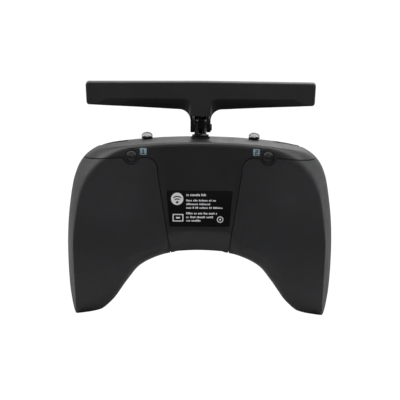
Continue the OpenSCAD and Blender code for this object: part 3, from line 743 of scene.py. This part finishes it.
def make_tags():
    y0 = -BACK_D - 0.15
    plates = [rounded_rect(s * TAG_X, TAG_Z, TAG_W, TAG_W, 0.45) for s in (-1, 1)]
    film = flat_solids("tag_films", plates, y0, y0 + 0.5)
    soften(film, 0.05, 2)
    smooth(film)
    dress(film, "body", MATERIALS["tag"], "tag", "switch_tags")
    one = [bar(-0.3, 0.35, -1.3, 1.3), bar(-0.8, -0.3, 0.65, 1.15), bar(-0.85, 0.9, -1.5, -1.05)]
    two = [bar(-0.85, 0.85, 1.0, 1.45), bar(0.4, 0.85, -0.1, 1.0), bar(-0.85, 0.85, -0.3, 0.15),
           bar(-0.85, -0.4, -1.1, -0.3), bar(-0.85, 0.85, -1.5, -1.05)]
    for (side, s), digit in zip(SIDES, (one, two)):
        shapes = [[(x + s * TAG_X, z + TAG_Z) for x, z in shape] for shape in digit]
        dress(flat_solids(side + "_tag_digit", shapes, y0 - 0.04, y0 + 0.02), "body", PRINT_DARK, "tag")


# ---------------------------------------------------------------- controls
def refined(node, body, width=0.25, segments=3, angle=38, material=None):
    """The CAD node's own shape with its sharp edges rounded."""
    source = frame["nodes"][node]
    mesh = source.data.copy()
    bm = bmesh.new()
    bm.from_mesh(mesh)
    bmesh.ops.remove_doubles(bm, verts=bm.verts, dist=2e-6)
    bmesh.ops.dissolve_limit(bm, angle_limit=math.radians(0.4), verts=bm.verts, edges=bm.edges)
    bm.to_mesh(mesh)
    bm.free()
    obj = link(node + "_finished", mesh)
    soften(obj, width, segments, angle)
    smooth(obj)
    return dress(obj, body, material or MATERIALS[SLOT_OF[node]], SLOT_OF[node], node)


def lathe(name, profile, axis_point, direction, count=64):
    """A solid turned about an axis. The profile is a list of (distance along it, radius)."""
    direction = Vector(direction).normalized()
    side = direction.orthogonal().normalized()
    other = direction.cross(side)
    origin = Vector(axis_point)
    bm = bmesh.new()
    rings = []
    for along, radius in profile:
        if radius < 1e-6:
            rings.append([bm.verts.new(place(origin + direction * along))])
            continue
        ring = []
        for k in range(count):
            t = 2 * math.pi * k / count
            p = origin + direction * along + (side * math.cos(t) + other * math.sin(t)) * radius
            ring.append(bm.verts.new(place(p)))
        rings.append(ring)
    bridge(bm, rings)
    return finished(bm, name)


def domed_profile(radius, height, crown, edge, steps=8):
    """A button from its base to a crowned top with a round edge."""
    profile = [(0, 0), (0, radius)]
    for t in np.linspace(0, 90, steps):
        c, s = math.cos(math.radians(t)), math.sin(math.radians(t))
        profile.append((height - edge + edge * s, radius - edge + edge * c))
    inner = radius - edge
    for t in np.linspace(0, 1, 6)[1:]:
        profile.append((height + crown * (1 - (1 - t) ** 2), inner * (1 - t)))
    return profile


def make_rear_buttons():
    for side, s in SIDES:
        name = side + "_rear_button"
        low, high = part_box(name)
        base = high.y / MM - MID_Y
        height = (high.y - low.y) / MM
        cap = lathe(name + "_cap", domed_profile(REAR_BUTTON_R, height - 0.7, 0.7, 1.1),
                    (s * REAR_BUTTON_X, base, REAR_BUTTON_Z), (0, -1, 0))
        smooth(cap, 50)
        dress(cap, name, MATERIALS["key_plastic"], "key_plastic", name)


def knurled_end(side_name, x):
    """The turned stick end: diamond knurl between plain bands, and a crown of teeth."""
    node = side_name + "_stick_end"
    low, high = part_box(node)
    base, length, radius = low.y / MM - MID_Y, (high.y - low.y) / MM, 4.1
    rows, count = 74, 120
    bm = bmesh.new()
    rings = []
    for i in range(rows + 1):
        h = length * i / rows
        ring = []
        for k in range(count):
            t = 2 * math.pi * k / count
            knurl = 0.0
            if 1.2 < h < length - 2.6:
                u = (t * 12 / math.pi + h * 1.15) % 1
                v = (t * 12 / math.pi - h * 1.15) % 1
                knurl = 0.34 * max(0.0, 1 - 3.2 * min(u, v, 1 - u, 1 - v))
            band = 0.3 if abs(h - 1.0) < 0.18 or abs(h - (length - 2.4)) < 0.18 else 0
            chamfer = max(0, 0.45 - h) + max(0, h - (length - 0.45))
            r = radius - knurl - band - chamfer
            ring.append(bm.verts.new(place((x + r * math.cos(t), base + h, GIMBAL_Z + r * math.sin(t)))))
        rings.append(ring)
    for depth, share in ((0, 0.8), (0, 0.62), (1.1, 0.5), (1.1, 0.0)):
        ring = []
        for k in range(1 if share == 0 else count):
            t = 2 * math.pi * k / count
            tooth = 0.8 if share in (0.8, 0.62) and (k % 20) >= 13 else 0
            r = radius * share
            p = (x + r * math.cos(t), base + length - depth - tooth, GIMBAL_Z + r * math.sin(t))
            ring.append(bm.verts.new(place(p)))
        rings.append(ring)
    bm.faces.new(rings[0])
    bridge(bm, rings)
    end = smooth(finished(bm, node + "_knurled"), 30)
    dress(end, side_name + "_control_stick", MATERIALS["stick_end_metal"], "stick_end_metal", node)


def make_toggle(side, s):
    """A metal lever with a wide oval cap: a flat face made bright by painted reflection, inside a round
    rim painted dark as shade.
    """
    name = side + "_toggle"
    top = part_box(name)[1].z / MM
    foot, half_w, tall, corner_x, lean = top - 3.1, 3.54, 2.6, 3.3, 0.16
    outline = [(corner_x, 0)]
    outline += [(half_w * math.cos(t), tall * math.sin(t)) for t in np.linspace(0.06, math.pi - 0.06, 41)]
    outline += [(-corner_x, 0)]
    rim = [(1.38, 0.76), (1.3, 0.82), (1.05, 0.91), (0.6, 0.98), (0.2, 1)]
    bm = bmesh.new()
    rings = []
    for y, size in [(-y, size) for y, size in rim] + rim[::-1]:
        ring = [(s * TOGGLE_X + x * size, TOGGLE_Y + y * (1 - lean * z), foot + mix(0.5, z, size))
                for x, z in outline]
        rings.append([bm.verts.new(place(point)) for point in ring])
    bm.faces.new(rings[0])
    bm.faces.new(rings[-1])
    bridge(bm, rings)
    cap = flat_borders(smooth(finished(bm, name + "_cap"), 50))
    dress(cap, name, MATERIALS["toggle_chrome"], "toggle_chrome", name)
    # The rim's quads get the dark painted shade, the two flat faces the bright metal.
    cap.data.materials.append(CAP_RIM_PAINTED_SHADE)
    for polygon in cap.data.polygons:
        polygon.material_index = int(len(polygon.vertices) == 4)
    reach = top - 2 - TOGGLE_PIVOT
    neck = [(0, 0), (0, 1.68), (0.5, 1.6), (1.0, 1.34), (1.3, 1.1), (reach, 1.1), (reach, 0)]
    lever = smooth(lathe(name + "_lever", neck, (s * TOGGLE_X, TOGGLE_Y, TOGGLE_PIVOT), (0, 0, 1)), 30)
    dress(lever, name, MATERIALS["toggle_chrome"], "toggle_chrome")


def make_controls():
    make_rear_buttons()
    for side, s in SIDES:
        knurled_end(side, s * GIMBAL_X)
        refined(side + "_stick", side + "_control_stick", 0.1)
        refined(side + "_yoke", side + "_gimbal_yoke", 0.3)
        refined(side + "_bezel", "body", 0.35)
        make_toggle(side, s)
        refined(side + "_toggle_base", "body", 0.15, material=MATT_BLACK_AND_SHADE)
        refined(side + "_shoulder_button", side + "_shoulder_button", 0.4, material=MATT_BLACK_AND_SHADE)
        refined(side + "_vertical_trim", side + "_vertical_trim", 0.35)
        refined(side + "_horizontal_trim", side + "_horizontal_trim", 0.35)
    refined("scroll_wheel", "scroll_wheel", 0.15, 2)
    refined("display_window", "body", 0.25)
    # The antenna base's collar is painted dark as shade with the matt black.
    refined("antenna_base", "body", 0.25, material=MATT_BLACK_AND_SHADE)
    knuckle = refined("antenna_knuckle", "antenna_knuckle", 0.2, 3)
    # The washer and the floor of the slot get the matt black as painted shade, in place of the glossy
    # plastic's bright reflection; the lugs above them stay glossy.
    slot_floor = 113.4
    knuckle.data.materials.append(MATT_BLACK_AND_SHADE)
    for polygon in knuckle.data.polygons:
        polygon.material_index = int(polygon.center.z < slot_floor * MM)
    refined("hinge_screw", "antenna", 0.2)
    for name, x, z, radius in (("menu_key", -KEY_X, KEY_Z, 3.2), ("page_key", -KEY_X, PAGE_KEY_Z, 3.2),
                               ("exit_key", KEY_X, KEY_Z, 3.2), ("power_button", 0, POWER_Z, 4.9)):
        low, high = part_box(name)
        base, height = low.y / MM - MID_Y, (high.y - low.y) / MM
        profile = domed_profile(radius, height, -0.35, 0.6)
        cap = smooth(lathe(name + "_cap", profile, (x, base, z), (0, 1, 0)), 50)
        dress(cap, name, MATERIALS[SLOT_OF[name]], SLOT_OF[name], name)


# ---------------------------------------------------------------- antenna
BAR_HALF = 72.0
BAR_T = 9.0
BAR_TOP = 145.8
STEM_HALF = 6.3
ROOT_LOW = 128.2
FILLET = 7.0
STEM_LOW = 124.2
HINGE_R = 3.2
BEVEL_TOP = 135.2


def antenna_loop(low):
    """Outline points of the antenna's right half, from the top centre down to the height low.

    Each is (x, z, inset x, inset z, depth of the edge, 0 for a round edge or 1 for a bevel).
    """
    small, corner_r = 0.8, 1.9
    loop = []
    for x in np.linspace(0, BAR_HALF - 2.4, 12):
        z = BAR_TOP - 0.6 * x / BAR_HALF
        loop.append((x, z, x, z - small, small, 0))
    for x0, z0, start, end in ((BAR_HALF - corner_r, 143.3, 80, 0), (BAR_HALF - 2.5, 132.95, 0, -88)):
        outer = arc(x0, z0, corner_r, start, end, 7)
        inner = arc(x0, z0, corner_r - small, start, end, 7)
        loop += [(x, z, u, w, small, 0) for (x, z), (u, w) in zip(outer, inner)]
    start, end = BAR_HALF - 4.2, STEM_HALF + FILLET
    for x in np.linspace(start, end, 26):
        share = (start - x) / (start - end)
        z = mix(131.0, ROOT_LOW, share)
        lift = rise(share * 5)
        depth = mix(small, 3.4, float(rise(share * 1.6)))
        loop.append((x, z, x, mix(z + small, BEVEL_TOP, float(lift)), depth, float(lift)))
    centre = (STEM_HALF + FILLET, ROOT_LOW - FILLET)
    inner_r = 3.6
    for t in np.linspace(0, 1, 22)[1:]:
        x, z = arc(*centre, FILLET, 90 + 90 * t, 0, 1)[0]
        if t < 0.5:
            turn = 90 + 180 * t
            u = STEM_HALF + (mix(FILLET, inner_r, t * 4) if t < 0.1 else inner_r)
            u, w = arc(u, BEVEL_TOP - inner_r, inner_r, turn, 0, 1)[0]
            w = max(w, BEVEL_TOP - inner_r)
        else:
            u, w = STEM_HALF, mix(BEVEL_TOP - inner_r, centre[1], (t - 0.5) * 2)
        u = min(u, x - 0.02)
        loop.append((x, z, u, w, 0.3 + 3.1 * (1 - t) ** 0.8, 1.0))
    if low > STEM_LOW:
        loop = [p for p in loop if p[1] > low]
    else:
        loop.append((STEM_HALF - 0.02, low, STEM_HALF - 0.05, low + 0.02, 0.3, 1.0))
    loop.append((0, low, 0, low + 0.02, 0.3, 1.0))
    return loop


def antenna_shell(name, y_face, y_seam, bevelled, low):
    """One moulded half of the antenna. Its outer side is at y_face and its flat one at y_seam."""
    half = antenna_loop(low)
    outline = half[:-1] + [(-x, z, -u, w, d, k) for x, z, u, w, d, k in half[-2:0:-1]]
    outward = math.copysign(1, y_face - y_seam)
    steps = 6
    bm = bmesh.new()
    rings = [[bm.verts.new(place((x, y_seam, z))) for x, z, *_ in outline]]
    for i in range(steps + 1):
        ring = []
        for x, z, u, w, depth, kind in outline:
            if not bevelled and kind:
                n = Vector((u - x, w - z))
                n = n.normalized() * 0.8 if n.length > 0.1 else Vector((0, 0))
                u, w, depth, kind = x + n.x, z + n.y, 0.8, 0
            t = i / steps
            round_in_share, round_up = 1 - math.cos(t * math.pi / 2), math.sin(t * math.pi / 2)
            inward, up = mix(round_in_share, t, kind), mix(round_up, t, kind)
            y = y_face - outward * depth * (1 - up)
            ring.append(bm.verts.new(place((mix(x, u, inward), y, mix(z, w, inward)))))
        rings.append(ring)
    bridge(bm, rings)
    bm.faces.new(rings[0])
    bm.faces.new(rings[-1])
    return flat_borders(smooth(finished(bm, name), 24))


def hinge_leaf(name, x, width, radius, material):
    """An ear or tongue of the antenna: flat sided, round the hinge pin at its lower end."""
    top = STEM_LOW + 0.9
    outline = [(HINGE_R - 0.1, top), (0.1 - HINGE_R, top)] + arc(0, FOLD_Z, radius, 180, 360, 25)
    bm = bmesh.new()
    sides = [[bm.verts.new(place((x + shift, ANTENNA_Y + y, z))) for y, z in outline]
             for shift in (-width / 2, width / 2)]
    bm.faces.new(sides[0])
    bm.faces.new(sides[1])
    bridge(bm, sides)
    leaf = smooth(soften(finished(bm, name), 0.25, 3))
    dress(leaf, "antenna", material, "antenna_plastic")


def make_antenna():
    y = ANTENNA_Y
    rear = antenna_shell("antenna_rear_moulding", y - BAR_T / 2, y + 0.35, True, STEM_LOW)
    dress(rear, "antenna", MATERIALS["antenna_plastic"], "antenna_plastic", "antenna_rear_cover")
    front = antenna_shell("antenna_front_moulding", y + BAR_T / 2, y + 0.55, False, STEM_LOW + 2.7)
    dress(front, "antenna", MATERIALS["antenna_plastic"], "antenna_plastic", "antenna_front_cover")
    hinge_leaf("antenna_tongue", 0, 2.76, HINGE_R + 0.25, MATT_BLACK_AND_SHADE)
    ear_w = 2.48
    for side, s in SIDES:
        x = s * (STEM_HALF - ear_w / 2)
        hinge_leaf("antenna_" + side + "_ear", x, ear_w, HINGE_R, MATERIALS["gloss_black"])


# ---------------------------------------------------------------- stage, light and camera
def make_stage():
    """A floor that is white to the camera and mid grey to the light."""
    mesh = bpy.data.meshes.new("floor")
    x, y0, y1 = 0.9, -0.12, 1.1
    mesh.from_pydata([(-x, y0, 0), (x, y0, 0), (x, y1, 0), (-x, y1, 0)], [], [(0, 1, 2, 3)])
    floor = link("floor", mesh)
    floor.location.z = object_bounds()[0].z - 0.0002
    paper = bpy.data.materials.new("white_paper")
    paper.use_nodes = True
    tree = paper.node_tree
    tree.nodes.clear()
    out = tree.nodes.new("ShaderNodeOutputMaterial")
    diffuse = tree.nodes.new("ShaderNodeBsdfDiffuse")
    diffuse.inputs[0].default_value = (0.5, 0.5, 0.5, 1)
    glow = tree.nodes.new("ShaderNodeEmission")
    glow.inputs[0].default_value = (1, 1, 1, 1)
    glow.inputs[1].default_value = 1.05
    path = tree.nodes.new("ShaderNodeLightPath")
    blend = tree.nodes.new("ShaderNodeMixShader")
    tree.links.new(path.outputs["Is Camera Ray"], blend.inputs[0])
    tree.links.new(diffuse.outputs[0], blend.inputs[1])
    tree.links.new(glow.outputs[0], blend.inputs[2])
    tree.links.new(blend.outputs[0], out.inputs[0])
    mesh.materials.append(paper)


def make_world():
    """White to the camera. Lights the object dimly from the back and brightly from the stick side."""
    world = bpy.data.worlds.new("studio")
    bpy.context.scene.world = world
    world.use_nodes = True
    tree = world.node_tree
    tree.nodes.clear()
    out = tree.nodes.new("ShaderNodeOutputWorld")
    white = tree.nodes.new("ShaderNodeBackground")
    white.inputs[0].default_value = (1, 1, 1, 1)
    white.inputs[1].default_value = 1.05
    room = tree.nodes.new("ShaderNodeBackground")
    room.inputs[1].default_value = 0.9
    coords = tree.nodes.new("ShaderNodeTexCoord")
    split = tree.nodes.new("ShaderNodeSeparateXYZ")
    ramp = tree.nodes.new("ShaderNodeValToRGB")
    shift = tree.nodes.new("ShaderNodeMapRange")
    shift.inputs["From Min"].default_value = -1
    shift.inputs["From Max"].default_value = 1
    stops = [(0.0, 0.02), (0.42, 0.03), (0.56, 0.42), (0.8, 0.8), (1.0, 0.55)]
    ramp.color_ramp.elements[0].position = stops[0][0]
    ramp.color_ramp.elements[0].color = (stops[0][1],) * 3 + (1,)
    ramp.color_ramp.elements[1].position = stops[-1][0]
    ramp.color_ramp.elements[1].color = (stops[-1][1],) * 3 + (1,)
    for position, value in stops[1:-1]:
        stop = ramp.color_ramp.elements.new(position)
        stop.color = (value, value, value, 1)
    path = tree.nodes.new("ShaderNodeLightPath")
    blend = tree.nodes.new("ShaderNodeMixShader")
    tree.links.new(coords.outputs["Generated"], split.inputs[0])
    tree.links.new(split.outputs["Y"], shift.inputs["Value"])
    tree.links.new(shift.outputs[0], ramp.inputs[0])
    tree.links.new(ramp.outputs[0], room.inputs[0])
    tree.links.new(path.outputs["Is Camera Ray"], blend.inputs[0])
    tree.links.new(room.outputs[0], blend.inputs[1])
    tree.links.new(white.outputs[0], blend.inputs[2])
    tree.links.new(blend.outputs[0], out.inputs[0])


def area_light(name, location, target, size, power, size_y=None):
    data = bpy.data.lights.new(name, "AREA")
    data.energy = power
    data.size = size
    if size_y:
        data.shape = "RECTANGLE"
        data.size_y = size_y
    light = bpy.data.objects.new(name, data)
    light.location = location
    light.rotation_euler = (Vector(target) - Vector(location)).to_track_quat("-Z", "Y").to_euler()
    bpy.context.scene.collection.objects.link(light)
    return light


def make_lights():
    area_light("top_softbox", (0, 0.02, 0.8), (0, 0, 0.08), 1.1, 5.4, 0.4)
    for side, power in ((-1, 4.0), (1, 2.4)):
        area_light("shoulder_softbox", (side * 0.6, -0.28, 0.6), (0, 0, 0.09), 0.4, power)
    for side, power in ((-1, 1.7), (1, 2.4)):
        area_light("side_softbox", (side * 0.85, 0.15, 0.25), (0, 0, 0.06), 0.5, power, 0.6)
    area_light("front_fill", (0.25, -1.3, 0.5), (0, 0, 0.07), 0.5, 2.0)
    area_light("face_fill", (0.2, 1.2, 0.7), (0, 0, 0.07), 0.6, 2.0)


def make_camera():
    data = bpy.data.cameras.new("camera")
    data.lens = 357.6
    data.sensor_width = 36
    camera = bpy.data.objects.new("camera", data)
    bpy.context.scene.collection.objects.link(camera)
    bpy.context.scene.camera = camera
    azimuth, elevation, distance = math.radians(0.8), math.radians(7.8), 2.5
    aim = Vector((-0.0001, 0.0, 0.07016))
    level = math.cos(elevation)
    back = Vector((math.sin(azimuth) * level, -math.cos(azimuth) * level, math.sin(elevation)))
    camera.location = aim + back * distance
    camera.rotation_mode = "QUATERNION"
    tilt = Matrix.Rotation(math.radians(0.37), 3, "Z").to_quaternion()
    camera.rotation_quaternion = (-back).to_track_quat("-Z", "Y") @ tilt
    bpy.context.scene.view_settings.view_transform = "Standard"


STATIONS, ROWS = ((130, 76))

make_camera()
finish_cad_nodes()
make_back_case(STATIONS, ROWS)
make_grips(STATIONS, ROWS)
make_front_case(STATIONS, ROWS)
make_label()
make_tags()
make_controls()
make_antenna()
make_stage()
make_world()
make_lights()

bpy.context.view_layer.update()
